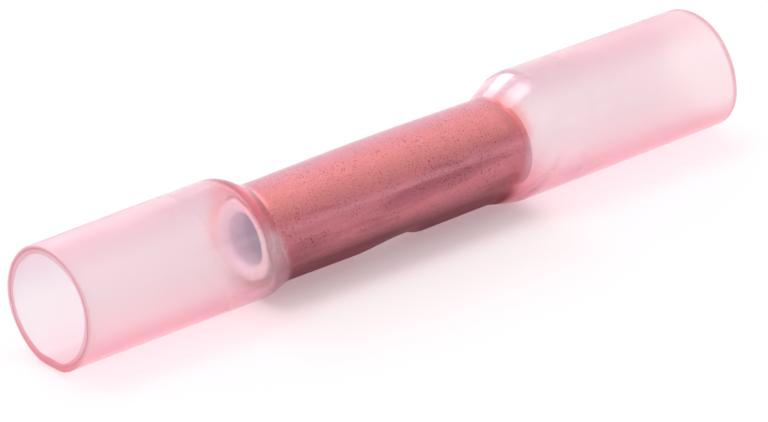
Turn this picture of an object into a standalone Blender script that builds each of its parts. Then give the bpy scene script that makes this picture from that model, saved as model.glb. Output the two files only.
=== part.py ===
"""Heat-shrink butt splice connector at its real size, in metres, lying along X with +Z up.

A tin-plated crimp barrel sits in a pink heat-shrink sleeve. The middle of the sleeve is shrunk
tight on the barrel, and both its ends stay open and wide, as funnels for the wires. A punch
mark halfway along the barrel makes the stop that each wire meets.

The origin is the centre of the sleeve, on the axis of its open ends. The near end is at -X.
Angles round the axis are measured from +Y towards +Z.
"""

import math
from dataclasses import dataclass

import bpy
import bmesh
from mathutils import Vector

# Sleeve, a cut length of heat-shrink tube
SLEEVE_LENGTH = 0.0369
MOUTH_DIAMETER = 0.0055
MOUTH_WALL = 0.00033
CROWN_DIAMETER = 0.00564  # where an open end is widest, beside its shoulder
MOUTH_WAVE = 0.00003  # how far a cut mouth is out of round
MOUTH_WAVE_REACH = 0.007  # how far into the sleeve that can be felt
CUT_SKEW = 0.0001  # the far mouth's cut is out of square by this on each side of its middle
REST_FLAT = 0.0001  # the soft open ends are pressed flat by this underneath, where they lie

# Barrel, a seamless tube
BARREL_LENGTH = 0.01505
BARREL_DIAMETER = 0.00364
BORE_DIAMETER = 0.0024
BORE_CHAMFER = 0.00023
EDGE_CHAMFER = 0.00008
BARREL_MIDDLE = -0.0005  # along X, from the sleeve's middle
BARREL_DROP = 0.00024  # its axis hangs this far below the axis of the open ends

# Fit of the sleeve on the barrel
FIT_GAP = 0.00003
NEAR_REACH = 0.0006  # how far the barrel's near end stands past the tight neck
FAR_REACH = 0.0007

# Shoulders, where the neck opens out
NEAR_SHOULDER_RUN = 0.00127
FAR_SHOULDER_RUN = 0.00145
CROWN_RADIUS = 0.0019
NECK_FILLET = 0.0005
NEAR_LEAN = 0.0008  # the shoulder starts this much earlier on the side that shrank less
FAR_LEAN = 0.0013
LEAN_ANGLE = math.radians(-122)
LEAN_HALF_ANGLE = math.radians(70)

# Stop, punched into the underside of the barrel
STAKE_SHIFT = 0.00042  # along X, from the barrel's middle
STAKE_DEPTH = 0.00045
STAKE_BRIDGE = 0.00004  # how far the sleeve spans the bottom of the punch mark
STAKE_NEAR_SLOPE = 0.0032
STAKE_FAR_SLOPE = 0.0017
STAKE_HALF_ANGLE = math.radians(75)
STAKE_ANGLE = math.radians(-90)
STAKE_SWELL = 0.00005  # the punch spreads the barrel by this all round

# Fineness of the surfaces
SEGMENTS = 36
ARC_STEPS = 5
MOUTH_STEPS = 6
NECK_STEPS = 4
STAKE_STEPS = 6
SMOOTH_ANGLE = math.radians(35)

STAKE_X = BARREL_MIDDLE + STAKE_SHIFT
BARREL_RADIUS = BARREL_DIAMETER / 2
BORE_RADIUS = BORE_DIAMETER / 2
CROWN_OUTER = CROWN_DIAMETER / 2
MOUTH_OUTER = MOUTH_DIAMETER / 2
MOUTH_INNER = MOUTH_OUTER - MOUTH_WALL

# Shrinking moves the sleeve's material and loses none, so r_outer^2 - r_inner^2 is the same
# at every section
WALL_SECTION = MOUTH_OUTER**2 - MOUTH_INNER**2
NECK_OUTER = math.sqrt((BARREL_RADIUS + FIT_GAP) ** 2 + WALL_SECTION)

# The sleeve lies on the flats of its open ends, or on its neck where that hangs lower
REST_HEIGHT = -max(CROWN_OUTER - REST_FLAT, NECK_OUTER + STAKE_SWELL + BARREL_DROP)


@dataclass(frozen=True)
class End:
    """One end of the sleeve, from the neck out to its mouth."""

    side: int  # -1 for the near end, 1 for the far one
    reach: float
    run: float
    lean: float
    cut_skew: float
    wave_angle: float

    @property
    def mouth_x(self):
        """The mouth's place along X."""
        return self.side * SLEEVE_LENGTH / 2

    @property
    def neck_x(self):
        """Where the tight neck ends and the shoulder begins."""
        return BARREL_MIDDLE + self.side * (BARREL_LENGTH / 2 - self.reach)

    @property
    def crown_x(self):
        """Where the shoulder's cone would meet the open end."""
        return self.neck_x + self.side * self.run


NEAR = End(-1, NEAR_REACH, NEAR_SHOULDER_RUN, NEAR_LEAN, 0.0, math.radians(18))
FAR = End(1, FAR_REACH, FAR_SHOULDER_RUN, FAR_LEAN, CUT_SKEW, math.radians(61))


def ramp(value, start, end):
    """0 at start, 1 at end, straight between them."""
    return min(max((value - start) / (end - start), 0.0), 1.0)


def bell(distance, reach):
    """1 at no distance, falling smoothly to 0 at reach."""
    return 0.5 + 0.5 * math.cos(math.pi * min(abs(distance) / reach, 1.0))


def turn_between(angle, other):
    """The turn from one angle to the other, never more than half a circle."""
    return math.remainder(angle - other, math.tau)


def spread(start, end, steps):
    """Evenly spaced values from start to end, with both of them."""
    return [start + (end - start) * i / steps for i in range(steps + 1)]


def stake(x, angle):
    """How much of the punch mark's depth a point has, from 0 to 1."""
    slope = STAKE_NEAR_SLOPE if x < STAKE_X else STAKE_FAR_SLOPE
    return bell(x - STAKE_X, slope) * bell(turn_between(angle, STAKE_ANGLE), STAKE_HALF_ANGLE)


def swell(x):
    """How far the punched barrel is spread at x."""
    return STAKE_SWELL * bell(x - STAKE_X, BARREL_LENGTH / 2)


def shoulder_outline(end):
    """Points (x, radius) of the sleeve's outside from the neck over the crown to the mouth."""
    slope = math.atan2(CROWN_OUTER - NECK_OUTER, end.run)
    taper = math.atan2(CROWN_OUTER - MOUTH_OUTER, abs(end.mouth_x - end.crown_x))
    face = math.hypot(CROWN_OUTER - NECK_OUTER, end.run)
    tangents = NECK_FILLET * math.tan(slope / 2) + CROWN_RADIUS * math.tan((slope + taper) / 2)
    fit = min(1.0, face / tangents)
    fillet, crown = NECK_FILLET * fit, CROWN_RADIUS * fit

    points = []
    start = end.neck_x - end.side * fillet * math.tan(slope / 2)
    for turn in spread(0, slope, ARC_STEPS):
        points.append(
            (start + end.side * fillet * math.sin(turn), NECK_OUTER + fillet * (1 - math.cos(turn)))
        )
    # The crown's arc touches the cone and the slightly tapered open end
    tangent = crown * math.tan((slope + taper) / 2)
    centre_x = end.crown_x + end.side * (tangent * math.cos(taper) - crown * math.sin(taper))
    centre_r = CROWN_OUTER - tangent * math.sin(taper) - crown * math.cos(taper)
    for turn in spread(slope, -taper, ARC_STEPS):
        points.append(
            (centre_x - end.side * crown * math.sin(turn), centre_r + crown * math.cos(turn))
        )
    crown_end = points[-1]
    for share in spread(0, 1, MOUTH_STEPS)[1:]:
        x = crown_end[0] + (end.mouth_x - crown_end[0]) * share
        points.append((x, crown_end[1] + (MOUTH_OUTER - crown_end[1]) * share))
    return points


def neck_stations():
    """Places along the neck, close together round the punch mark."""
    near, far = shoulder_outline(NEAR)[0][0], shoulder_outline(FAR)[0][0]
    mark_start, mark_end = STAKE_X - STAKE_NEAR_SLOPE, STAKE_X + STAKE_FAR_SLOPE
    return (
        spread(near, mark_start, NECK_STEPS)[1:]
        + spread(mark_start, STAKE_X, STAKE_STEPS)[1:]
        + spread(STAKE_X, mark_end, STAKE_STEPS)[1:]
        + spread(mark_end, far, NECK_STEPS)[1:-1]
    )


def sleeve_outline():
    """The sleeve's outside from the near mouth to the far mouth, as points (x, radius)."""
    neck = [(x, NECK_OUTER) for x in neck_stations()]
    return shoulder_outline(NEAR)[::-1] + neck + shoulder_outline(FAR)


def sleeve_point(x, outer, angle, inside):
    """A point of the sleeve's wall at a station of its outline, on its outer or inner side."""
    end = NEAR if x < STAKE_X else FAR
    radius = math.sqrt(outer**2 - WALL_SECTION) if inside else outer
    lowest = REST_HEIGHT + outer - radius
    flare = ramp(outer, NECK_OUTER, CROWN_OUTER)
    radius += swell(x) * (1 - flare)
    radius -= (STAKE_DEPTH - STAKE_BRIDGE) * stake(x, angle)

    to_mouth = abs(end.mouth_x - x)
    wave = math.cos(3 * (angle - end.wave_angle)) + math.cos(4 * (angle + end.wave_angle))
    radius += MOUTH_WAVE * wave * bell(to_mouth, MOUTH_WAVE_REACH)

    lean = end.lean * ramp(x, end.mouth_x, end.crown_x) * ramp(x, STAKE_X, end.neck_x)
    lean *= bell(turn_between(angle, LEAN_ANGLE), LEAN_HALF_ANGLE)
    height = max(radius * math.sin(angle) - BARREL_DROP * (1 - flare), lowest)
    skew = end.cut_skew * (1 + height / MOUTH_OUTER) * ramp(x, end.crown_x, end.mouth_x)
    return Vector((x - end.side * (lean + skew), radius * math.cos(angle), height))


def barrel_outline():
    """The barrel's outside from its near end face to its far one, as points (x, radius)."""
    near, far = BARREL_MIDDLE - BARREL_LENGTH / 2, BARREL_MIDDLE + BARREL_LENGTH / 2
    edge = BARREL_RADIUS - EDGE_CHAMFER
    body = [near + EDGE_CHAMFER] + neck_stations() + [far - EDGE_CHAMFER]
    return [(near, edge)] + [(x, BARREL_RADIUS) for x in body] + [(far, edge)]


def bore_outline():
    """The barrel's bore from its far mouth back to its near one, as points (x, radius)."""
    near, far = BARREL_MIDDLE - BARREL_LENGTH / 2, BARREL_MIDDLE + BARREL_LENGTH / 2
    mouth = BORE_RADIUS + BORE_CHAMFER
    body = [far - BORE_CHAMFER] + neck_stations()[::-1] + [near + BORE_CHAMFER]
    return [(far, mouth)] + [(x, BORE_RADIUS) for x in body] + [(near, mouth)]


def barrel_point(x, radius, angle):
    """A point of the barrel's wall, spread and pressed in by the punch."""
    radius += swell(x) - STAKE_DEPTH * stake(x, angle)
    return Vector((x, radius * math.cos(angle), radius * math.sin(angle) - BARREL_DROP))


def ring_angles():
    """The angles of one ring of points, with a flat between two of them at the bottom."""
    step = math.tau / SEGMENTS
    return [-math.pi / 2 + step * (i + 0.5) for i in range(SEGMENTS)]


def loft(name, rings, material):
    """A closed tube wall: each ring is joined to the next, and the last to the first."""
    bm = bmesh.new()
    loops = [[bm.verts.new(point) for point in ring] for ring in rings]
    for loop, following in zip(loops, loops[1:] + loops[:1]):
        for i, corner in enumerate(loop):
            beside = (i + 1) % len(loop)
            bm.faces.new((corner, following[i], following[beside], loop[beside]))
    bmesh.ops.recalc_face_normals(bm, faces=bm.faces)
    mesh = bpy.data.meshes.new(name)
    bm.to_mesh(mesh)
    bm.free()
    mesh.shade_smooth()
    mesh.set_sharp_from_angle(angle=SMOOTH_ANGLE)
    mesh.materials.append(material)
    piece = bpy.data.objects.new(name, mesh)
    bpy.context.scene.collection.objects.link(piece)
    return piece


def plain_material(name, colour, roughness, metallic, alpha=1.0):
    """A Principled material with one colour."""
    material = bpy.data.materials.new(name)
    material.use_nodes = True
    shader = material.node_tree.nodes["Principled BSDF"]
    shader.inputs["Base Color"].default_value = (*colour, 1.0)
    shader.inputs["Roughness"].default_value = roughness
    shader.inputs["Metallic"].default_value = metallic
    shader.inputs["Alpha"].default_value = alpha
    material.diffuse_color = (*colour, 1.0)
    return material


def make_sleeve():
    """The heat-shrink sleeve: open funnel ends, shoulders and the neck shrunk on the barrel."""
    angles = ring_angles()
    outline = sleeve_outline()
    outside = [[sleeve_point(x, r, a, False) for a in angles] for x, r in outline]
    inside = [[sleeve_point(x, r, a, True) for a in angles] for x, r in reversed(outline)]
    pink = plain_material("pink_polyolefin", (0.86, 0.36, 0.42), 0.35, 0.0, alpha=0.6)
    return loft("heat_shrink_sleeve", outside + inside, pink)


def make_barrel():
    """The crimp barrel: a tube with chamfered mouths and the punched wire stop."""
    angles = ring_angles()
    outline = barrel_outline() + bore_outline()
    rings = [[barrel_point(x, r, a) for a in angles] for x, r in outline]
    tin = plain_material("tin_plate", (0.60, 0.58, 0.60), 0.3, 1.0)
    return loft("crimp_barrel", rings, tin)


def main():
    """Clears the scene and models the connector."""
    for item in list(bpy.data.objects):
        bpy.data.objects.remove(item, do_unlink=True)
    make_sleeve()
    make_barrel()


main()
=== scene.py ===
"""Looks of a heat-shrink butt splice connector: its translucent pink sleeve and its tinned barrel.

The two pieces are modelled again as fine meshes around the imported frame. Lengths are in metres,
X runs along the connector from its near end to its far end, and angles round its axis are
measured from +Y towards +Z. A pair of limits says where a mask is 0 and where it is 1.
"""

import logging
import math
from dataclasses import dataclass
from enum import Enum
from typing import Callable, Iterable, Sequence

import bpy
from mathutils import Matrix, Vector


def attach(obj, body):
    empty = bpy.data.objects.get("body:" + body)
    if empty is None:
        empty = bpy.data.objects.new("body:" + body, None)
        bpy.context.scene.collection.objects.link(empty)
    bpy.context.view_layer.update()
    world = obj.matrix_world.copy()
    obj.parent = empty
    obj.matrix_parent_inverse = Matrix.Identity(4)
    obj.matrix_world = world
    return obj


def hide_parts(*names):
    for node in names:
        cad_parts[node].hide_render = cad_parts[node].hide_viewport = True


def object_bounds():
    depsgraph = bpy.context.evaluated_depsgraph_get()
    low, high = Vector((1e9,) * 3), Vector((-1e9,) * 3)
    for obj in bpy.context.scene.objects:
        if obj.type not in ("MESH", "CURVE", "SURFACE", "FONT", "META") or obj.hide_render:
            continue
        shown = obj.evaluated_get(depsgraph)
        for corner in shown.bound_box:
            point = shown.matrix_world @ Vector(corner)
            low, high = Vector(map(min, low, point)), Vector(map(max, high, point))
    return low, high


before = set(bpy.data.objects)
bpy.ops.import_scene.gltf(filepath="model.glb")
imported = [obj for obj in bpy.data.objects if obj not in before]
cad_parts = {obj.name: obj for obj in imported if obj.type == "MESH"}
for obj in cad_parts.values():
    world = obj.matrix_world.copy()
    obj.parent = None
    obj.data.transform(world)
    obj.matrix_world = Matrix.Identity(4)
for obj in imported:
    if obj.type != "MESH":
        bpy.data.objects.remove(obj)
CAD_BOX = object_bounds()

log = logging.getLogger("connector")

Point = tuple[float, float]
Limits = tuple[float, float]
Colour = tuple[float, float, float]
Weight = Callable[[Vector], float]
Material = bpy.types.Material
Tree = bpy.types.NodeTree
Node = bpy.types.Node
Socket = bpy.types.NodeSocket

SLEEVE_NODE = "heat_shrink_sleeve"
BARREL_NODE = "crimp_barrel"

# The shares of Y and Z in the way that the shoulders lean and in the way to the front
LOW_WAY = (-0.53, -0.85)
FRONT_WAY = (-0.85, 0.53)

# The grain of the finishes
BUMP_HEIGHT = 0.00002
DOT_LEVEL = 0.58
PIMPLE_SHIFT = 0.013


class Side(Enum):
    """The two ends of the connector."""

    NEAR = -1
    FAR = 1


class Skin(Enum):
    """Which way a surface of a tube faces, as the sign of a push towards the axis."""

    OUTSIDE = -1
    BORE = 1


class Way(Enum):
    """Which way a push moves a mesh, as the Displace modifier names it."""

    ALONG = "X"
    UP = "Z"
    OUTWARD = "NORMAL"


def ramp(value: float, start: float, end: float) -> float:
    """Rises straight from 0 where a value is start to 1 where it is end."""
    return min(max((value - start) / (end - start), 0.0), 1.0)


def bell(distance: float, reach: float) -> float:
    """Falls smoothly from 1 at no distance to 0 at reach, to either side."""
    return 0.5 + 0.5 * math.cos(math.pi * min(abs(distance) / reach, 1.0))


def turn_between(angle: float, other: float) -> float:
    """The turn from one angle to the other, never more than half a circle."""
    return math.remainder(angle - other, math.tau)


def spread(start: float, end: float, steps: int) -> list[float]:
    """Evenly spaced values from start to end, with both of them."""
    return [start + (end - start) * i / steps for i in range(steps + 1)]


def angle_of(place: Vector) -> float:
    """The angle of a point round the connector's axis."""
    return math.atan2(place.z, place.y)


@dataclass(frozen=True)
class RingModeller:
    """Makes a tube from a ring that is extruded and scaled from station to station."""

    name: str
    segments: int

    def extrude(self, outline: Sequence[Point], closed: bool) -> bpy.types.Object:
        """Draws the outline round the X axis, ring by ring.

        Args:
            outline: Points (x, radius), in order.
            closed: True where the last ring is joined to the first.

        Returns:
            The new object, in object mode, selected and active.
        """
        bpy.ops.object.select_all(action="DESELECT")
        x, radius = outline[0]
        bpy.ops.mesh.primitive_circle_add(
            vertices=self.segments, radius=radius, location=(0, 0, 0), rotation=(0, math.pi / 2, 0)
        )
        piece = bpy.context.object
        piece.name = piece.data.name = self.name
        bpy.ops.object.transform_apply(location=True, rotation=True, scale=True)
        bpy.ops.object.mode_set(mode="EDIT")
        bpy.ops.mesh.select_all(action="SELECT")
        bpy.ops.transform.translate(value=(x, 0, 0))
        for next_x, next_radius in outline[1:]:
            bpy.ops.mesh.extrude_region_move(TRANSFORM_OT_translate={"value": (next_x - x, 0, 0)})
            scale = next_radius / radius
            bpy.ops.transform.resize(value=(1, scale, scale), center_override=(next_x, 0, 0))
            x, radius = next_x, next_radius
        if closed:
            self.join_ends(piece)
        bpy.ops.mesh.select_all(action="SELECT")
        bpy.ops.mesh.normals_make_consistent(inside=False)
        bpy.ops.object.mode_set(mode="OBJECT")
        return piece

    def join_ends(self, piece: bpy.types.Object) -> None:
        """Bridges the last ring to the first.

        Args:
            piece: The object, in edit mode.
        """
        bpy.ops.mesh.select_mode(type="VERT")
        bpy.ops.mesh.select_all(action="DESELECT")
        bpy.ops.object.mode_set(mode="OBJECT")
        last = len(piece.data.vertices) - self.segments
        for vertex in piece.data.vertices:
            vertex.select = not self.segments <= vertex.index < last
        bpy.ops.object.mode_set(mode="EDIT")
        bpy.ops.mesh.bridge_edge_loops()


@dataclass(frozen=True)
class Shaper:
    """Pushes parts of a mesh with weighted modifiers that are applied at once."""

    piece: bpy.types.Object

    def weigh(self, name: str, weight: Weight) -> str:
        """Makes a vertex group from a rule on places.

        Args:
            name: The group's name.
            weight: Gives a number from 0 to 1 for a vertex's place.

        Returns:
            The group's name.
        """
        group = self.piece.vertex_groups.new(name=name)
        for vertex in self.piece.data.vertices:
            share = weight(vertex.co)
            if share > 0:
                group.add([vertex.index], share, "REPLACE")
        return group.name

    def push(self, name: str, way: Way, strength: float, weight: Weight) -> None:
        """Moves the vertices along an axis or their normals.

        Args:
            name: What the push is for.
            way: Which way they move.
            strength: How far a vertex of full weight moves.
            weight: Gives a number from 0 to 1 for a vertex's place.
        """
        push = self.piece.modifiers.new(name, "DISPLACE")
        push.direction = way.value
        push.mid_level = 0.0
        push.strength = strength
        push.vertex_group = self.weigh(name, weight)
        self.apply(push)

    def apply(self, modifier: bpy.types.Modifier) -> None:
        """Applies a modifier and drops the vertex groups.

        Args:
            modifier: A modifier of the piece.
        """
        bpy.context.view_layer.objects.active = self.piece
        bpy.ops.object.modifier_apply(modifier=modifier.name)
        self.piece.vertex_groups.clear()

    def soften_edges(self, width: float, segments: int, angle: float) -> None:
        """Rounds the sharp edges.

        Args:
            width: The width of the rounding.
            segments: How many faces round each edge.
            angle: Edges that turn more than this are rounded.
        """
        bevel = self.piece.modifiers.new("soft_edges", "BEVEL")
        bevel.width = width
        bevel.segments = segments
        bevel.limit_method = "ANGLE"
        bevel.angle_limit = angle
        bevel.harden_normals = False
        self.apply(bevel)

    def smooth(self, angle: float) -> None:
        """Shades the piece smooth.

        Args:
            angle: Edges that turn more than this stay sharp.
        """
        bpy.ops.object.select_all(action="DESELECT")
        self.piece.select_set(True)
        bpy.context.view_layer.objects.active = self.piece
        bpy.ops.object.shade_smooth_by_angle(angle=angle)


@dataclass(frozen=True)
class NodeBoard:
    """Adds and joins the nodes of one material or group."""

    tree: Tree

    def __post_init__(self) -> None:
        """Empties the tree."""
        self.tree.nodes.clear()

    def add(self, kind: str, **settings: object) -> Node:
        """Adds a node.

        Args:
            kind: The node's type, such as ShaderNodeMath.
            **settings: Properties of the node, such as operation.

        Returns:
            The node.
        """
        node = self.tree.nodes.new(kind)
        for key, value in settings.items():
            setattr(node, key, value)
        return node

    def feed(self, node: Node, **inputs: object) -> Node:
        """Sets or links a node's inputs.

        Args:
            node: The node.
            **inputs: For each input, its name with _ for a space, or in0, in1 for its number,
                and a plain value or an output socket.

        Returns:
            The node.
        """
        for key, value in inputs.items():
            place = int(key[2:]) if key[:2] == "in" and key[2:].isdigit() else key.replace("_", " ")
            socket = node.inputs[place]
            if isinstance(value, Socket):
                self.tree.links.new(value, socket)
            elif isinstance(value, tuple) and len(value) == 3 and socket.type == "RGBA":
                socket.default_value = (*value, 1.0)
            else:
                socket.default_value = value
        return node

    def make(self, kind: str, **inputs: object) -> Socket:
        """Adds a node, feeds it and gives its first output."""
        return self.feed(self.add(kind), **inputs).outputs[0]

    def maths(self, operation: str, *values: object) -> Socket:
        """Adds a Math node, fed with plain values or outputs, and gives its value."""
        node = self.add("ShaderNodeMath", operation=operation)
        return self.feed(node, **{f"in{i}": value for i, value in enumerate(values)}).outputs[0]

    def vector_maths(self, operation: str, first: object, second: object) -> Socket:
        """Adds a Vector Math node and gives its vector."""
        node = self.add("ShaderNodeVectorMath", operation=operation)
        return self.feed(node, in0=first, in1=second).outputs[0]

    def object_place(self) -> Socket:
        """The coordinates on the piece itself."""
        return self.add("ShaderNodeTexCoord").outputs["Object"]

    def split(self, place: Socket) -> tuple[Socket, Socket, Socket]:
        """The X, Y and Z of a place."""
        return tuple(self.feed(self.add("ShaderNodeSeparateXYZ"), in0=place).outputs)

    def across(self, y: Socket, z: Socket, way: Sequence[object]) -> Socket:
        """The sum of y and z, each times its share in a way across the connector."""
        return self.maths("MULTIPLY_ADD", z, way[1], self.maths("MULTIPLY", y, way[0]))

    def radius(self, y: Socket, z: Socket) -> Socket:
        """The distance from where y and z are 0."""
        return self.maths("SQRT", self.across(y, z, (y, z)))

    def noise(self, place: Socket, scale: Socket, detail: float) -> Socket:
        """Adds a Noise Texture and gives its value."""
        return self.make("ShaderNodeTexNoise", Vector=place, Scale=scale, Detail=detail)

    def bump(self, height: Socket, strength: float) -> Socket:
        """Adds a Bump node and gives its normal."""
        return self.make("ShaderNodeBump", Height=height, Strength=strength, Distance=BUMP_HEIGHT)

    def blend(self, share: object, first: object, second: object) -> Socket:
        """Mixes a share, from 0 to 1, of the second colour into the first."""
        node = self.add("ShaderNodeMix", data_type="RGBA")
        return self.feed(node, in0=share, in6=first, in7=second).outputs[2]

    def between(self, value: Socket, start: object, end: object) -> Socket:
        """Makes a mask that rises smoothly from 0 where a value is start to 1 where it is end."""
        node = self.add("ShaderNodeMapRange", interpolation_type="SMOOTHSTEP")
        return self.feed(node, Value=value, From_Min=start, From_Max=end).outputs[0]

    def tint(self, base: object, value: Socket, limits: Limits, colour: object) -> Socket:
        """Turns a base colour into another between two limits of a value."""
        return self.blend(self.between(value, *limits), base, colour)

    def graded(self, value: Socket, low: float, high: float) -> Socket:
        """Turns a mask from 0 to 1 into a value from low to high."""
        return self.make("ShaderNodeMapRange", Value=value, To_Min=low, To_Max=high)


def group_board(
    name: str, inputs: dict[str, float], outputs: Iterable[str]
) -> tuple[NodeBoard, Node, Node]:
    """Starts a node group whose sockets are all numbers, apart from the place it reads.

    Args:
        name: The group's name.
        inputs: The names and values of its number inputs.
        outputs: The names of its outputs.

    Returns:
        The board, the node with the inputs and the node that takes the outputs.
    """
    tree = bpy.data.node_groups.new(name, "ShaderNodeTree")
    tree.interface.new_socket("Place", in_out="INPUT", socket_type="NodeSocketVector")
    for label, value in inputs.items():
        socket = tree.interface.new_socket(label, in_out="INPUT", socket_type="NodeSocketFloat")
        socket.default_value = value
    for label in outputs:
        tree.interface.new_socket(label, in_out="OUTPUT", socket_type="NodeSocketFloat")
    board = NodeBoard(tree)
    return board, board.add("NodeGroupInput"), board.add("NodeGroupOutput")


def openness_group() -> Tree:
    """How the sleeve stands to the barrel.

    Open says how far it stands off, from 0 to 1. Low and Front are lengths from the axis, the
    way the shoulders lean and to the front. Reach is the length from the middle, and grows
    with Low.

    Returns:
        The group.
    """
    board, given, result = group_board(
        "Openness",
        {"Middle": 0.0, "Neck": 1.0, "Crown": 2.0, "Lean": 0.4},
        ["Open", "Low", "Front", "Reach"],
    )
    x, y, z = board.split(given.outputs["Place"])
    low, front = board.across(y, z, LOW_WAY), board.across(y, z, FRONT_WAY)
    along = board.maths("ABSOLUTE", board.maths("SUBTRACT", x, given.outputs["Middle"]))
    slant = board.maths("MULTIPLY", board.maths("MAXIMUM", low, 0.0), given.outputs["Lean"])
    reach = board.maths("ADD", along, slant)
    opened = board.between(reach, given.outputs["Neck"], given.outputs["Crown"])
    board.feed(result, Open=opened, Low=low, Front=front, Reach=reach)
    return board.tree


def speckle_group() -> Tree:
    """Fine pits and pimples: two masks of small sparse dots, dark and light.

    Returns:
        The group.
    """
    labels = ["Pits", "Pimples"]
    board, given, result = group_board("Speckle", {"Scale": 1.0, "Spread": 0.1}, labels)
    for label, shift in zip(labels, (0.0, PIMPLE_SHIFT)):
        moved = board.vector_maths("ADD", given.outputs["Place"], (shift, shift, shift))
        noise = board.noise(moved, given.outputs["Scale"], detail=1.0)
        edge = board.maths("ADD", DOT_LEVEL, given.outputs["Spread"])
        dots = board.make("ShaderNodeMapRange", Value=noise, From_Min=DOT_LEVEL, From_Max=edge)
        board.feed(result, **{label: dots})
    return board.tree


def streak_group() -> Tree:
    """Drawing marks: a mask of uneven streaks that run along X.

    Returns:
        The group.
    """
    board, given, result = group_board("Streaks", {"Scale": 1000.0, "Stretch": 0.1}, ["Streak"])
    stretch = board.make("ShaderNodeCombineXYZ", X=given.outputs["Stretch"], Y=1.0, Z=1.0)
    drawn = board.vector_maths("MULTIPLY", given.outputs["Place"], stretch)
    board.feed(result, Streak=board.noise(drawn, given.outputs["Scale"], detail=3.0))
    return board.tree


def cloud_group() -> Tree:
    """Slow unevenness: a soft mask that drifts along the piece.

    Returns:
        The group.
    """
    board, given, result = group_board("Clouds", {"Scale": 100.0}, ["Cloud"])
    cloud = board.noise(given.outputs["Place"], given.outputs["Scale"], detail=2.0)
    board.feed(result, Cloud=cloud)
    return board.tree


@dataclass(frozen=True)
class Effects:
    """The node groups that several finishes share."""

    openness: Tree
    speckle: Tree
    streaks: Tree
    clouds: Tree

    @classmethod
    def build(cls) -> "Effects":
        """Builds each group once."""
        return cls(openness_group(), speckle_group(), streak_group(), cloud_group())


def place_group(
    board: NodeBoard, tree: Tree, place: Socket, **inputs: float
) -> Node:
    """Puts a shared group into a material, with the coordinates to read and its own values."""
    node = board.add("ShaderNodeGroup", node_tree=tree)
    return board.feed(node, Place=place, **inputs)


def new_board(name: str) -> tuple[Material, NodeBoard, Node]:
    """Starts a material.

    Args:
        name: The material's name.

    Returns:
        The material, its board and its output node.
    """
    material = bpy.data.materials.new(name)
    material.use_nodes = True
    board = NodeBoard(material.node_tree)
    return material, board, board.add("ShaderNodeOutputMaterial")


@dataclass(frozen=True)
class PinkPlastic:
    """Plastic that light passes through and that deepens its pink with its thickness."""

    lamp_tint: Colour = (1.0, 1.0, 1.0)
    clarity: float = 0.4
    bend: float = 1.33
    absorbed: Colour = (0.96, 0.04, 0.26)
    density: float = 330.0

    def finish(self, board: NodeBoard, glass: Node, output: Node) -> None:
        """Clears a shader, and joins it and the pink of the depth to the material's output.

        Args:
            board: The material's board.
            glass: Its Principled BSDF.
            output: Its output node.
        """
        board.feed(glass, IOR=self.bend, Transmission_Weight=self.clarity)
        depth = board.make("ShaderNodeVolumeAbsorption", Color=self.absorbed, Density=self.density)
        board.feed(output, Surface=self.let_lamps_through(board, glass), Volume=depth)

    def let_lamps_through(self, board: NodeBoard, glass: Node) -> Socket:
        """Lets light from the lamps and from dull surfaces pass straight through a shader.

        Args:
            board: The material's board.
            glass: The shader that the camera and the reflections meet.

        Returns:
            The output of the mixed shader.
        """
        clear = board.make("ShaderNodeBsdfTransparent", Color=self.lamp_tint)
        path = board.add("ShaderNodeLightPath")
        shader = glass.outputs[0]
        for ray in ("Is Diffuse Ray", "Is Shadow Ray"):
            shader = board.make("ShaderNodeMixShader", in0=path.outputs[ray], in1=shader, in2=clear)
        return shader


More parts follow.
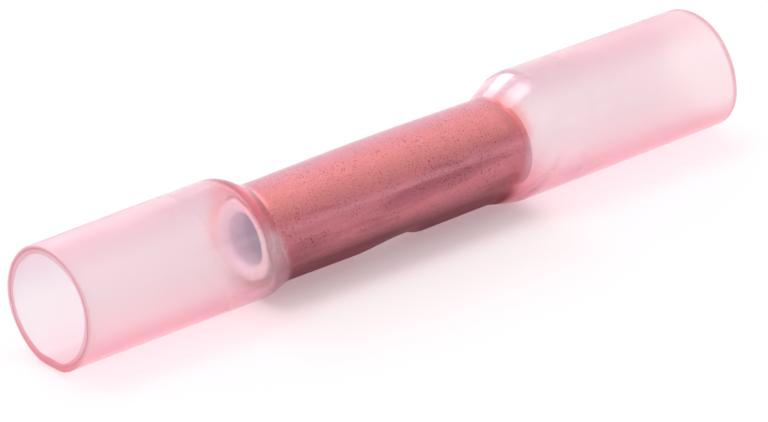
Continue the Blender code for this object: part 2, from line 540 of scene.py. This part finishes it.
@dataclass(frozen=True)
class PinkWall(PinkPlastic):
    """Translucent pink polyolefin: milky where it stands free, deeper where it is tight."""

    lamp_tint: Colour = (1.0, 0.99, 0.992)
    clarity: float = 0.87
    density: float = 290.0

    tight_colour: Colour = (0.96, 0.39, 0.355)
    # Painted reflection: a bluer pink on the neck's lower side
    tight_low_painted_reflection_colour: Colour = (0.96, 0.39, 0.42)
    # Painted sheen: a lilac band along the neck's top
    tight_top_painted_sheen_colour: Colour = (0.86, 0.50, 0.58)
    # Painted shade: near black maroon under the neck
    tight_under_painted_shade_colour: Colour = (0.18, 0.01, 0.03)
    # Where the neck's lower side, with its painted reflection and its real streaks, starts and ends
    low_streak_and_painted_reflection_limits: Limits = (-0.0004, 0.0004)
    # Where the painted sheen along the neck's top starts and ends
    tight_top_painted_sheen_limits: Limits = (-0.0014, -0.0021)
    # Where the painted shade under the neck starts and ends
    tight_under_painted_shade_limits: Limits = (0.0018, 0.0025)

    streak_colour: Colour = (0.66, 0.24, 0.28)
    streak_limits: Limits = (0.50, 0.62)
    streak_scale: float = 1500.0
    streak_stretch: float = 0.12

    open_colour: Colour = (0.94, 0.92, 0.92)
    # Painted shade: the ends' top is darker and pinker
    open_top_painted_shade_colour: Colour = (0.84, 0.73, 0.77)
    # Painted light: the ends' back half is paler and cooler, so what is seen through it turns less
    # pink
    back_painted_light_colour: Colour = (0.90, 1.0, 1.0)
    back_top_painted_light_colour: Colour = (0.84, 0.90, 0.94)
    # Painted light: a deeper pink under the ends, for pink light from below
    open_under_painted_light_colour: Colour = (0.87, 0.62, 0.66)
    # Where the painted shade on the ends' top starts and ends, on the front and the back half
    open_top_painted_shade_limits: Limits = (-0.0004, -0.0023)
    # Where the painted light of the ends' back half starts and ends
    back_painted_light_limits: Limits = (0.0020, -0.0020)
    # Where the painted light under the ends starts and ends
    open_under_painted_light_limits: Limits = (0.0016, 0.0028)

    # Painted shade: a deep pink at the feet of the shoulders
    shoulder_painted_shade_colour: Colour = (0.88, 0.22, 0.29)
    shoulder_rise: Limits = (-0.0001, 0.0007)
    shoulder_fall: Limits = (0.0017, 0.0008)
    shoulder_near: float = 0.001
    shoulder_front: Limits = (0.0022, 0.0010)
    shoulder_above: Limits = (0.0008, -0.0010)
    shoulder_under: Limits = (0.0005, 0.0020)
    shoulder_under_share: float = 0.45

    tight_roughness: float = 0.14
    under_roughness: float = 0.5
    under_limits: Limits = (0.0016, 0.0025)
    open_roughness: float = 0.42
    frosting_start: float = 0.0012
    frosting_reach: float = 0.005
    least_grain: float = 0.5
    gloss: float = 0.25
    gloss_roughness: float = 0.12
    gloss_bend: float = 1.4
    unevenness: float = 0.6

    middle_shift: float = -0.0001
    neck_margin: float = 0.0001
    crown_margin: float = 0.0008

    def build(self, effects: Effects, barrel_middle: float, neck_end: float) -> Material:
        """Makes the material.

        Args:
            effects: The shared node groups.
            barrel_middle: The barrel's middle along X.
            neck_end: How far from it the tight neck ends.

        Returns:
            The material.
        """
        material, board, output = new_board("pink_wall")
        place = board.object_place()
        middle, neck = barrel_middle + self.middle_shift, neck_end + self.neck_margin
        crown = neck_end + self.crown_margin
        fit = place_group(board, effects.openness, place, Middle=middle, Neck=neck, Crown=crown)
        start = crown + self.frosting_start
        end = start + self.frosting_reach
        frost = place_group(board, effects.openness, place, Middle=middle, Neck=start, Crown=end)
        streaks = place_group(
            board, effects.streaks, place, Scale=self.streak_scale, Stretch=self.streak_stretch
        )
        streak = streaks.outputs["Streak"]
        colour = self.colour(board, fit, streak)
        # Painted shade: a deep pink at the shoulders' feet
        shoulder = self.shoulder(board, place, fit, middle, neck)
        colour = board.blend(shoulder, colour, self.shoulder_painted_shade_colour)
        rough = self.roughness(board, place, fit, frost.outputs["Open"])
        relief = board.bump(streak, self.unevenness)
        glass = board.add("ShaderNodeBsdfPrincipled")
        board.feed(glass, Base_Color=colour, Roughness=rough, Normal=relief)
        gloss = board.graded(fit.outputs["Open"], 0.0, self.gloss)
        board.feed(glass, Coat_Weight=gloss, Coat_Roughness=self.gloss_roughness)
        board.feed(glass, Coat_IOR=self.gloss_bend)
        self.finish(board, glass, output)
        return material

    def colour(self, board: NodeBoard, fit: Node, streak: Socket) -> Socket:
        """Tints the tight neck and the free ends with painted light and shade, by their top,
        underside and back.

        Args:
            board: The material's board.
            fit: The openness group's node.
            streak: The mask of the drawing marks.

        Returns:
            The colour's output.
        """
        low, front = fit.outputs["Low"], fit.outputs["Front"]
        # The lower side takes a painted reflection, a bluer pink, and the real drawing streaks
        lower = board.between(low, *self.low_streak_and_painted_reflection_limits)
        tight = board.blend(lower, self.tight_colour, self.tight_low_painted_reflection_colour)
        marks = board.maths("MULTIPLY", board.between(streak, *self.streak_limits), lower)
        tight = board.blend(marks, tight, self.streak_colour)
        # Painted sheen: lilac along the neck's top
        tight = board.tint(tight, low, self.tight_top_painted_sheen_limits, self.tight_top_painted_sheen_colour)
        # Painted shade: near black under the neck
        tight = board.tint(tight, low, self.tight_under_painted_shade_limits, self.tight_under_painted_shade_colour)
        # Painted shade: the ends darken and turn pinker towards the top
        top = board.between(low, *self.open_top_painted_shade_limits)
        free = board.blend(top, self.open_colour, self.open_top_painted_shade_colour)
        # Painted light: a paler, cooler back half, itself with painted shade on its top
        behind = board.blend(top, self.back_painted_light_colour, self.back_top_painted_light_colour)
        free = board.tint(free, front, self.back_painted_light_limits, behind)
        # Painted light: a deeper pink under the ends
        free = board.tint(free, low, self.open_under_painted_light_limits, self.open_under_painted_light_colour)
        return board.blend(fit.outputs["Open"], tight, free)

    def shoulder(
        self, board: NodeBoard, place: Socket, fit: Node, middle: float, neck: float
    ) -> Socket:
        """Makes the mask of the painted shade, a deep pink, at the feet of the shoulders, seen from
        the front.

        Args:
            board: The material's board.
            place: The coordinates to read.
            fit: The openness group's node.
            middle: The middle that it measures from along X.
            neck: How far from it the tight neck ends.

        Returns:
            The mask's output.
        """
        low, reach = fit.outputs["Low"], fit.outputs["Reach"]
        x, y, _ = board.split(place)
        rise, fall = (
            board.between(reach, neck + start, neck + end)
            for start, end in (self.shoulder_rise, self.shoulder_fall)
        )
        halfway = board.maths("MULTIPLY", rise, fall)
        near = board.between(x, middle, middle - self.shoulder_near)
        front = board.between(y, *self.shoulder_front)
        above = board.maths("MULTIPLY", near, board.between(low, *self.shoulder_above))
        under = board.between(low, *self.shoulder_under)
        under = board.maths("MULTIPLY", under, self.shoulder_under_share)
        strength = board.maths("MAXIMUM", above, under)
        return board.maths("MULTIPLY", board.maths("MULTIPLY", halfway, front), strength)

    def roughness(self, board: NodeBoard, place: Socket, fit: Node, frosted: Socket) -> Socket:
        """Frosts the open ends and dulls the neck's underside, with a fine grain.

        Args:
            board: The material's board.
            place: The coordinates to read.
            fit: The openness group's node.
            frosted: The mask of the open ends.

        Returns:
            The roughness's output.
        """
        shut = board.maths("SUBTRACT", 1.0, fit.outputs["Open"])
        under = board.between(fit.outputs["Low"], *self.under_limits)
        dull = board.maths("MULTIPLY", under, shut)
        grain = board.make("ShaderNodeTexWhiteNoise", Vector=place)
        grain = board.maths("ADD", grain, self.least_grain)
        base = self.tight_roughness
        rough = board.maths("MULTIPLY", frosted, self.open_roughness - base)
        rough = board.maths("MULTIPLY_ADD", dull, self.under_roughness - base, rough)
        return board.maths("MULTIPLY_ADD", rough, grain, base)


@dataclass(frozen=True)
class CutFace(PinkPlastic):
    """The cut end of the wall, a little rougher than its skin, with a deeper ring in it and painted
    shade, a deeper pink, towards its bottom.
    """

    colour: Colour = (1.0, 0.72, 0.80)
    # Painted shade: a deeper pink towards the cut face's bottom
    under_painted_shade_colour: Colour = (1.0, 0.42, 0.49)
    core_colour: Colour = (0.90, 0.34, 0.45)
    # Where the painted shade of the cut face's bottom starts and ends
    under_limits: Limits = (-0.0009, -0.0026)
    core_start: Limits = (0.00250, 0.00257)
    core_end: Limits = (0.00265, 0.00258)
    roughness: float = 0.35

    def build(self) -> Material:
        """Makes the material.

        Returns:
            The material.
        """
        material, board, output = new_board("cut_face")
        _, y, z = board.split(board.object_place())
        # Painted shade: a deeper pink towards the bottom of the cut face
        colour = board.tint(self.colour, z, self.under_limits, self.under_painted_shade_colour)
        radius = board.radius(y, z)
        start, end = board.between(radius, *self.core_start), board.between(radius, *self.core_end)
        colour = board.blend(board.maths("MULTIPLY", start, end), colour, self.core_colour)
        glass = board.add("ShaderNodeBsdfPrincipled")
        board.feed(glass, Base_Color=colour, Roughness=self.roughness)
        self.finish(board, glass, output)
        return material


@dataclass(frozen=True)
class TinPlate:
    """Matt electroplated tin, finely pitted; its bore is barely metallic, with painted light and
    painted shade, and its end faces are painted pale with light.
    """

    colour: Colour = (0.66, 0.63, 0.67)
    roughness: float = 0.36
    unevenness: float = 0.08
    cloud_scale: float = 600.0

    pit_colour: Colour = (0.30, 0.25, 0.27)
    pit_scale: float = 14000.0
    pit_spread: float = 0.1
    pit_depth: float = 0.4
    patch_limits: Limits = (0.38, 0.60)
    fewest_pits: float = 0.4

    # Painted light: the bore is pale pink, lit through the sleeve
    bore_painted_light_colour: Colour = (1.0, 0.82, 1.0)
    bore_limits: Limits = (0.0003, 0.0001)
    bore_metal: float = 0.1
    # Painted shade: a darker mauve deeper in the bore
    bore_painted_shade_colour: Colour = (0.76, 0.56, 0.84)
    bore_painted_shade_limits: Limits = (0.00675, 0.00660)
    shade_ragged: float = 0.0005
    scratch_limits: Limits = (0.50, 0.60)
    scratch_scale: float = 2500.0
    scratch_stretch: float = 0.12
    scratch_share: float = 0.15

    # Painted light: the barrel's end faces are pale pink
    face_painted_light_colour: Colour = (0.98, 0.80, 0.84)
    face_limits: Limits = (0.00735, 0.0075)

    def build(self, effects: Effects, middle: float, drop: float, bore: float) -> Material:
        """Makes the material.

        Args:
            effects: The shared node groups.
            middle: The barrel's middle along X.
            drop: How far the barrel's axis lies under the X axis.
            bore: The bore's radius.

        Returns:
            The material.
        """
        material, board, output = new_board("tin_plate")
        place = board.object_place()
        x, y, z = board.split(place)
        speckle = place_group(
            board, effects.speckle, place, Scale=self.pit_scale, Spread=self.pit_spread
        )
        cloud = place_group(board, effects.clouds, place, Scale=self.cloud_scale).outputs["Cloud"]
        patches = board.graded(board.between(cloud, *self.patch_limits), self.fewest_pits, 1.0)
        pits = board.maths("MULTIPLY", speckle.outputs["Pits"], patches)
        along = board.maths("ABSOLUTE", board.maths("SUBTRACT", x, middle))
        face = board.between(along, *self.face_limits)
        # Painted light on the end faces
        hollow = board.blend(face, self.hollow(board, effects, place, along), self.face_painted_light_colour)
        radius = board.radius(y, board.maths("ADD", z, drop))
        inside = board.between(radius, *(bore + margin for margin in self.bore_limits))
        inside = board.maths("MAXIMUM", inside, face)
        colour = board.blend(inside, self.colour, hollow)
        colour = board.blend(pits, colour, self.pit_colour)
        least, most = self.roughness - self.unevenness, self.roughness + self.unevenness
        rough = board.graded(cloud, least, most)
        metal = board.graded(inside, 1.0, self.bore_metal)
        relief = board.maths("SUBTRACT", speckle.outputs["Pimples"], pits)
        body = board.add("ShaderNodeBsdfPrincipled")
        board.feed(body, Base_Color=colour, Roughness=rough, Metallic=metal)
        board.feed(body, Normal=board.bump(relief, self.pit_depth))
        board.feed(output, Surface=body.outputs[0])
        return material

    def hollow(self, board: NodeBoard, effects: Effects, place: Socket, along: Socket) -> Socket:
        """Gives the bore painted pale pink light and painted shade past a ragged line at its mouth,
        and scratches it faintly.

        Args:
            board: The material's board.
            effects: The shared node groups.
            place: The coordinates to read.
            along: How far a place is from the barrel's middle.

        Returns:
            The colour's output.
        """
        streaks = place_group(
            board, effects.streaks, place, Scale=self.scratch_scale, Stretch=self.scratch_stretch
        )
        streak = streaks.outputs["Streak"]
        ragged = board.maths("MULTIPLY_ADD", streak, self.shade_ragged, along)
        # Painted light in the bore, with painted shade past a ragged line
        shaded = board.tint(self.bore_painted_light_colour, ragged, self.bore_painted_shade_limits, self.bore_painted_shade_colour)
        scratched = board.between(streak, *self.scratch_limits)
        scratched = board.maths("MULTIPLY", scratched, self.scratch_share)
        return board.blend(scratched, shaded, self.pit_colour)


@dataclass(frozen=True)
class StopMark:
    """The stop punched into the barrel's underside, which the sleeve follows."""

    x: float = -0.00008
    depth: float = 0.00045
    bridge: float = 0.00004
    near_slope: float = 0.0032
    far_slope: float = 0.0017
    half_angle: float = math.radians(75)
    angle: float = math.radians(-90)
    swell: float = 0.00005

    def share(self, place: Vector) -> float:
        """How much of the mark's depth a point has.

        Args:
            place: The point.

        Returns:
            A number from 0 to 1.
        """
        slope = self.near_slope if place.x < self.x else self.far_slope
        turn = turn_between(angle_of(place), self.angle)
        return bell(place.x - self.x, slope) * bell(turn, self.half_angle)

    def spread_at(self, x: float, reach: float) -> float:
        """How far the punched barrel is spread at x, over a reach to each side."""
        return self.swell * bell(x - self.x, reach)


@dataclass
class Barrel:
    """The tin-plated crimp barrel: a seamless tube with chamfered mouths."""

    length: float = 0.01505
    diameter: float = 0.00364
    bore: float = 0.0024
    bore_chamfer: float = 0.00023
    edge_chamfer: float = 0.00008
    edge_width: float = 0.00003
    edge_faces: int = 2
    edge_angle: float = math.radians(25)
    smooth_angle: float = math.radians(40)
    middle: float = -0.0005
    drop: float = 0.00024
    segments: int = 128
    steps: int = 72
    stop: StopMark = StopMark()

    @property
    def radius(self) -> float:
        """The barrel's outer radius."""
        return self.diameter / 2

    def body_stations(self) -> list[float]:
        """Places along the barrel between its chamfers."""
        half = self.length / 2 - self.bore_chamfer
        return spread(self.middle - half, self.middle + half, self.steps)

    def outline(self) -> list[Point]:
        """The closed outline: the outside to the far end and the bore back.

        Returns:
            Points (x, radius).
        """
        near, far = self.middle - self.length / 2, self.middle + self.length / 2
        rim, mouth = self.radius - self.edge_chamfer, self.bore / 2 + self.bore_chamfer
        bulge = [(x, self.stop.spread_at(x, self.length / 2)) for x in self.body_stations()]
        outside = [(near, rim), (near + self.edge_chamfer, self.radius)]
        outside += [(x, self.radius + b) for x, b in bulge]
        outside += [(far - self.edge_chamfer, self.radius), (far, rim)]
        inside = [(far, mouth)] + [(x, self.bore / 2 + b) for x, b in reversed(bulge)]
        return outside + inside + [(near, mouth)]

    def stop_share(self, place: Vector, skin: Skin) -> float:
        """The mark's share of a point that is on the given skin of the tube, or else 0."""
        outside = math.hypot(place.y, place.z) > (self.bore + self.diameter) / 4
        return self.stop.share(place) if outside == (skin is Skin.OUTSIDE) else 0.0

    def build(self, tin: Material) -> bpy.types.Object:
        """Models and dresses the barrel.

        Args:
            tin: Its material.

        Returns:
            The finished piece.
        """
        piece = RingModeller("tinned_barrel", self.segments).extrude(self.outline(), closed=True)
        shaper = Shaper(piece)
        for skin in Skin:
            shaper.push(
                f"punch_{skin.name.lower()}",
                Way.OUTWARD,
                skin.value * self.stop.depth,
                lambda place, skin=skin: self.stop_share(place, skin),
            )
        shaper.soften_edges(self.edge_width, self.edge_faces, self.edge_angle)
        shaper.push("hang_low", Way.UP, -self.drop, lambda place: 1.0)
        shaper.smooth(self.smooth_angle)
        piece.data.materials.append(tin)
        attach(piece, "root")
        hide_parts(BARREL_NODE)
        return piece


@dataclass(frozen=True)
class SleeveEnd:
    """One end of the sleeve, from the neck to its mouth."""

    side: Side
    reach: float
    run: float
    lean: float
    wave_angle: float

    def neck_x(self, barrel: Barrel) -> float:
        """Where the tight neck ends."""
        return barrel.middle + self.side.value * (barrel.length / 2 - self.reach)

    def crown_x(self, barrel: Barrel) -> float:
        """Where the shoulder's cone would meet the open end."""
        return self.neck_x(barrel) + self.side.value * self.run


@dataclass
class Sleeve:
    """The heat-shrink sleeve: two open ends, two shoulders and a neck tight on the barrel."""

    barrel: Barrel
    length: float = 0.0369
    mouth: float = 0.0055
    mouth_ease: float = 1.7
    wall: float = 0.00033
    crown: float = 0.00564
    crown_radius: float = 0.0019
    neck_fillet: float = 0.0005
    wave: float = 0.00003
    wave_reach: float = 0.007
    wave_lobes: tuple[int, int] = (3, 4)
    cut_skew: float = 0.0001
    cut_facing: float = 0.6
    rest_flat: float = 0.0001
    rest_ease: float = 0.00008
    fit_gap: float = 0.00003
    wetting: float = 0.00008
    lean_angle: float = math.radians(-122)
    lean_half_angle: float = math.radians(70)
    edge_width: float = 0.00004
    edge_faces: int = 3
    edge_angle: float = math.radians(60)
    smooth_angle: float = math.radians(80)
    segments: int = 180
    arc_steps: int = 12
    end_steps: int = 28
    neck_steps: int = 60
    near: SleeveEnd = SleeveEnd(Side.NEAR, 0.0006, 0.00127, 0.0008, math.radians(18))
    far: SleeveEnd = SleeveEnd(Side.FAR, 0.0007, 0.00145, 0.0013, math.radians(61))

    @property
    def section(self) -> float:
        """Outer radius squared less inner radius squared, the same all along the sleeve."""
        return (self.mouth / 2) ** 2 - (self.mouth / 2 - self.wall) ** 2

    @property
    def neck_radius(self) -> float:
        """The outer radius of the tight neck."""
        return math.sqrt((self.barrel.radius + self.fit_gap) ** 2 + self.section)

    @property
    def neck_wall(self) -> float:
        """The wall's thickness at the neck, where it is thickest."""
        return self.neck_radius - self.barrel.radius - self.fit_gap

    def mouth_x(self, end: SleeveEnd) -> float:
        """The mouth's place along X."""
        return end.side.value * self.length / 2

    def flare(self, radius: float) -> float:
        """How far the sleeve has opened at an outer radius, from 0 to 1."""
        return ramp(radius, self.neck_radius, self.crown / 2)

    def tightness(self, place: Vector) -> float:
        """How far a point of the outside hangs with the barrel, from 0 to 1."""
        return 1 - self.flare(math.hypot(place.y, place.z))

    def end_outline(self, end: SleeveEnd) -> list[Point]:
        """The outside of one end, from the neck over the crown to the mouth.

        Args:
            end: The end.

        Returns:
            Points (x, radius).
        """
        side, crown, mouth = end.side.value, self.crown / 2, self.mouth / 2
        crown_x, mouth_x = end.crown_x(self.barrel), self.mouth_x(end)
        slope = math.atan2(crown - self.neck_radius, end.run)
        taper = math.atan2(crown - mouth, abs(mouth_x - crown_x))
        start = end.neck_x(self.barrel) - side * self.neck_fillet * math.tan(slope / 2)
        points = [
            (
                start + side * self.neck_fillet * math.sin(turn),
                self.neck_radius + self.neck_fillet * (1 - math.cos(turn)),
            )
            for turn in spread(0, slope, self.arc_steps)
        ]
        tangent = self.crown_radius * math.tan((slope + taper) / 2)
        centre_x = crown_x + side * (
            tangent * math.cos(taper) - self.crown_radius * math.sin(taper)
        )
        centre_r = crown - tangent * math.sin(taper) - self.crown_radius * math.cos(taper)
        points += [
            (
                centre_x - side * self.crown_radius * math.sin(turn),
                centre_r + self.crown_radius * math.cos(turn),
            )
            for turn in spread(slope, -taper, self.arc_steps)
        ]
        last_x, last_r = points[-1]
        for step in spread(0, 1, self.end_steps)[1:]:
            share = step**self.mouth_ease
            points.append((last_x + (mouth_x - last_x) * share, last_r + (mouth - last_r) * share))
        return points

    def outline(self) -> list[Point]:
        """The outside from the near mouth to the far mouth, with the barrel's slight bulge.

        Returns:
            Points (x, radius).
        """
        near, far = self.end_outline(self.near), self.end_outline(self.far)
        neck = [(x, self.neck_radius) for x in spread(near[0][0], far[0][0], self.neck_steps)[1:-1]]
        half = self.barrel.length / 2
        return [
            (x, radius + self.barrel.stop.spread_at(x, half) * (1 - self.flare(radius)))
            for x, radius in near[::-1] + neck + far
        ]

    def wave_at(self, place: Vector) -> float:
        """How far the cut mouth is out of round at a point.

        Args:
            place: The point.

        Returns:
            A number from -1 to 1.
        """
        end = self.near if place.x < 0 else self.far
        angle = angle_of(place)
        few, many = self.wave_lobes
        wave = math.cos(few * (angle - end.wave_angle)) + math.cos(many * (angle + end.wave_angle))
        return wave / 2 * bell(self.mouth_x(end) - place.x, self.wave_reach)

    def lean_at(self, place: Vector, end: SleeveEnd) -> float:
        """How much of an end's lean a point has.

        Args:
            place: The point.
            end: The end.

        Returns:
            A number from 0 to 1.
        """
        outer = ramp(place.x, self.mouth_x(end), end.crown_x(self.barrel))
        inner = ramp(place.x, self.barrel.stop.x, end.neck_x(self.barrel))
        turn = turn_between(angle_of(place), self.lean_angle)
        return outer * inner * bell(turn, self.lean_half_angle)

    def wall_share(self, place: Vector) -> float:
        """The wall's thickness at a point of the outside.

        Args:
            place: The point.

        Returns:
            A share of the neck's wall.
        """
        low = self.barrel.drop * self.tightness(place)
        radius = max(math.hypot(place.y, place.z + low), self.neck_radius)
        return (radius - math.sqrt(radius**2 - self.section)) / self.neck_wall

    def rest_share(self, place: Vector) -> float:
        """How far the flat under the open ends lifts a point.

        Args:
            place: The point.

        Returns:
            A share of twice the flat's depth.
        """
        below = self.rest_flat - self.crown / 2 - place.z
        eased = max(below + self.rest_ease, 0.0) ** 2 / (4 * self.rest_ease)
        lift = below if below > self.rest_ease else eased
        return lift / (2 * self.rest_flat)

    def skew_at(self, place: Vector) -> float:
        """How far the far cut leans back at a point, from 0 to 1."""
        along = ramp(place.x, self.far.crown_x(self.barrel), self.mouth_x(self.far))
        return along * (1 + place.z / (self.mouth / 2)) / 2

    def build(self, pink: Material, cut: Material) -> bpy.types.Object:
        """Models and dresses the sleeve.

        Args:
            pink: The wall's material.
            cut: The material of the two cut faces.

        Returns:
            The finished piece.
        """
        piece = RingModeller("pink_sleeve", self.segments).extrude(self.outline(), closed=False)
        shaper = Shaper(piece)
        self.shape(shaper)
        self.thicken(shaper)
        shaper.soften_edges(self.edge_width, self.edge_faces, self.edge_angle)
        shaper.smooth(self.smooth_angle)
        self.dress(piece, pink, cut)
        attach(piece, "root")
        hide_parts(SLEEVE_NODE)
        return piece

    def shape(self, shaper: Shaper) -> None:
        """Punches, waves, lowers, flattens, leans and skews the skin.

        Args:
            shaper: Holds the sleeve's outside.
        """
        stop, wave = self.barrel.stop, 2 * self.wave
        shaper.push("punch", Way.OUTWARD, stop.bridge - stop.depth, stop.share)
        shaper.push("bulges", Way.OUTWARD, wave, lambda place: max(self.wave_at(place), 0))
        shaper.push("hollows", Way.OUTWARD, -wave, lambda place: max(-self.wave_at(place), 0))
        shaper.push("hang_low", Way.UP, -self.barrel.drop, self.tightness)
        shaper.push("rest", Way.UP, 2 * self.rest_flat, self.rest_share)
        for end in (self.near, self.far):
            shaper.push(
                f"lean_{end.side.name.lower()}",
                Way.ALONG,
                -end.side.value * end.lean,
                lambda place, end=end: self.lean_at(place, end),
            )
        shaper.push("skew", Way.ALONG, -2 * self.cut_skew, self.skew_at)

    def thicken(self, shaper: Shaper) -> None:
        """Gives the skin its wall, towards the axis.

        Args:
            shaper: Holds the sleeve's outside.
        """
        solid = shaper.piece.modifiers.new("wall", "SOLIDIFY")
        solid.thickness = self.neck_wall + self.wetting
        solid.offset = -1.0
        solid.vertex_group = shaper.weigh("wall", self.wall_share)
        shaper.apply(solid)

    def dress(self, piece: bpy.types.Object, pink: Material, cut: Material) -> None:
        """Puts the cut material on the faces at the mouths and the wall's on the rest.

        Args:
            piece: The sleeve.
            pink: The wall's material.
            cut: The material of the cut faces, which lie within three skews of the ends.
        """
        piece.data.materials.append(pink)
        piece.data.materials.append(cut)
        edge = self.length / 2 - 3 * self.cut_skew
        for face in piece.data.polygons:
            at_mouth = abs(face.center.x) > edge and abs(face.normal.x) > self.cut_facing
            face.material_index = 1 if at_mouth else 0


@dataclass(frozen=True)
class Softbox:
    """A square soft light that faces the connector."""

    name: str
    way: tuple[float, float, float]
    distance: float
    size: float
    radiance: float

    def build(self) -> None:
        """Adds the light."""
        lamp = bpy.data.lights.new(self.name, "AREA")
        lamp.size = self.size
        lamp.energy = self.radiance * math.pi * self.size**2
        light = bpy.data.objects.new(self.name, lamp)
        bpy.context.scene.collection.objects.link(light)
        way = Vector(self.way).normalized()
        light.location = way * self.distance
        light.rotation_euler = way.to_track_quat("Z", "Y").to_euler()


@dataclass(frozen=True)
class Studio:
    """The white table, the soft light and the camera."""

    azimuth: float = -41.08
    elevation: float = 25.53
    distance: float = 0.32285
    aim: tuple[float, float, float] = (-0.0003, -0.00039, -0.00109)
    lens: float = 351.8
    sensor: float = 36.0
    table_size: float = 4.0
    table_colour: Colour = (0.62, 0.62, 0.625)
    table_roughness: float = 0.9
    table_gloss: float = 0.1
    # Painted light: the table glows faintly pink, lifting and tinting the shadows
    painted_glow_colour: Colour = (1.0, 0.77, 0.80)
    table_painted_glow: float = 0.24
    front_sky: float = 0.66
    back_sky: float = 1.0
    front_tint: Colour = (0.98, 0.96, 1.03)
    back_tint: Colour = (1.01, 1.0, 0.985)
    sky_side: float = -0.6
    sky_limits: Limits = (-0.3, 0.1)
    lights: tuple[Softbox, ...] = (
        Softbox("overhead_softbox", (-0.12, 0.30, 0.94), 0.50, 0.20, 6.0),
        Softbox("back_softbox", (0.14, 0.87, 0.48), 0.50, 0.20, 4.6),
        Softbox("side_softbox", (0.30, 0.28, 0.91), 0.50, 0.16, 1.8),
        Softbox("front_strip", (0.593, -0.760, 0.265), 0.50, 0.07, 1.6),
    )

    def build(self) -> None:
        """Sets the table, the light and the camera."""
        bpy.context.scene.view_settings.view_transform = "Standard"
        self.build_table()
        self.build_sky()
        for softbox in self.lights:
            softbox.build()
        self.build_camera()

    def build_table(self) -> None:
        """Lays the white table under the connector, with a faint pink glow that is painted light in
        the shadows.
        """
        bpy.ops.object.select_all(action="DESELECT")
        low = CAD_BOX[0][2]
        bpy.ops.mesh.primitive_plane_add(size=self.table_size, location=(0, 0, low))
        table = bpy.context.object
        table.name = "white_table"
        material, board, output = new_board("white_paper")
        body = board.add("ShaderNodeBsdfPrincipled")
        board.feed(body, Base_Color=self.table_colour, Roughness=self.table_roughness)
        # Painted light: a faint pink glow of the table
        board.feed(body, Emission_Color=self.painted_glow_colour, Emission_Strength=self.table_painted_glow)
        board.feed(body, Specular_IOR_Level=self.table_gloss)
        board.feed(output, Surface=body.outputs[0])
        table.data.materials.append(material)

    def build_sky(self) -> None:
        """Lights the whole scene softly, more from behind and above than from the front."""
        world = bpy.data.worlds.new("studio_sky")
        world.use_nodes = True
        board = NodeBoard(world.node_tree)
        x, y, z = board.split(board.add("ShaderNodeTexCoord").outputs["Generated"])
        lean = board.maths("MULTIPLY_ADD", x, self.sky_side, board.maths("ADD", y, z))
        rise = board.between(lean, *self.sky_limits)
        strength = board.graded(rise, self.front_sky, self.back_sky)
        tint = board.blend(rise, self.front_tint, self.back_tint)
        background = board.make("ShaderNodeBackground", Color=tint, Strength=strength)
        board.feed(board.add("ShaderNodeOutputWorld"), Surface=background)
        bpy.context.scene.world = world

    def build_camera(self) -> None:
        """Places the camera at the photograph's angle."""
        lens = bpy.data.cameras.new("camera")
        lens.lens = self.lens
        lens.sensor_width = self.sensor
        camera = bpy.data.objects.new("camera", lens)
        bpy.context.scene.collection.objects.link(camera)
        turn, rise = math.radians(self.azimuth), math.radians(self.elevation)
        level = math.cos(rise)
        back = Vector((math.sin(turn) * level, -math.cos(turn) * level, math.sin(rise)))
        camera.location = Vector(self.aim) + back * self.distance
        camera.rotation_euler = (math.pi / 2 - rise, 0.0, turn)
        bpy.context.scene.camera = camera


def main() -> None:
    """Builds the connector's pieces and the studio round them."""
    logging.basicConfig(level=logging.INFO)
    effects = Effects.build()
    barrel = Barrel()
    tin = TinPlate().build(effects, barrel.middle, barrel.drop, barrel.bore / 2)
    tube = barrel.build(tin)
    log.info("%s: %d faces", tube.name, len(tube.data.polygons))
    sleeve = Sleeve(barrel)
    neck_end = abs(sleeve.near.neck_x(barrel) - barrel.middle)
    pink = PinkWall().build(effects, barrel.middle, neck_end)
    cover = sleeve.build(pink, CutFace().build())
    log.info("%s: %d faces", cover.name, len(cover.data.polygons))
    Studio().build()


if __name__ == "__main__":
    main()
